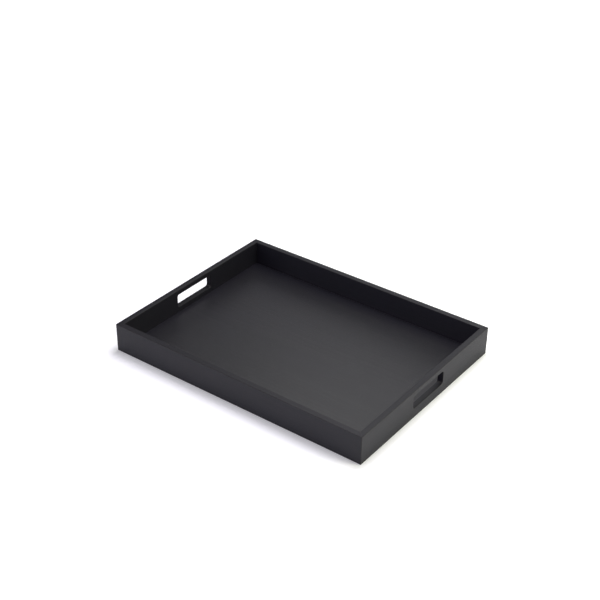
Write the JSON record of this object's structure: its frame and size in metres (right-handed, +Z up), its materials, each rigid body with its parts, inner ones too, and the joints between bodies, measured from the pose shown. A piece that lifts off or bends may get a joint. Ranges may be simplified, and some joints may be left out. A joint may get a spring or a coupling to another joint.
{
  "type": "butler tray",
  "caption": "Low rectangular wooden tray with mitred walls, a grooved-in floor panel and a cut-out hand slot in each short wall for carrying.",
  "frame": {"origin": "centre of the rectangle that the tray stands on, at the bottom edges of its walls", "axes": "+X along the long side, to the right seen from the front; +Y along the short side, towards the back wall; +Z up out of the tray"},
  "size_m": [0.48, 0.36, 0.05],
  "materials": {
    "black_stained_wood": "satin black stain and clear lacquer",
    "black_floor_panel": "satin black lacquer",
    "raw_beech": "unfinished, as sawn"
  },
  "bodies": {
    "root": {"front_wall": "black_stained_wood", "back_wall": "black_stained_wood", "left_wall": "black_stained_wood", "right_wall": "black_stained_wood", "base_panel": "black_floor_panel", "front_left_corner_tongue": "raw_beech", "front_right_corner_tongue": "raw_beech", "back_left_corner_tongue": "raw_beech", "back_right_corner_tongue": "raw_beech"}
  },
  "joints": []
}
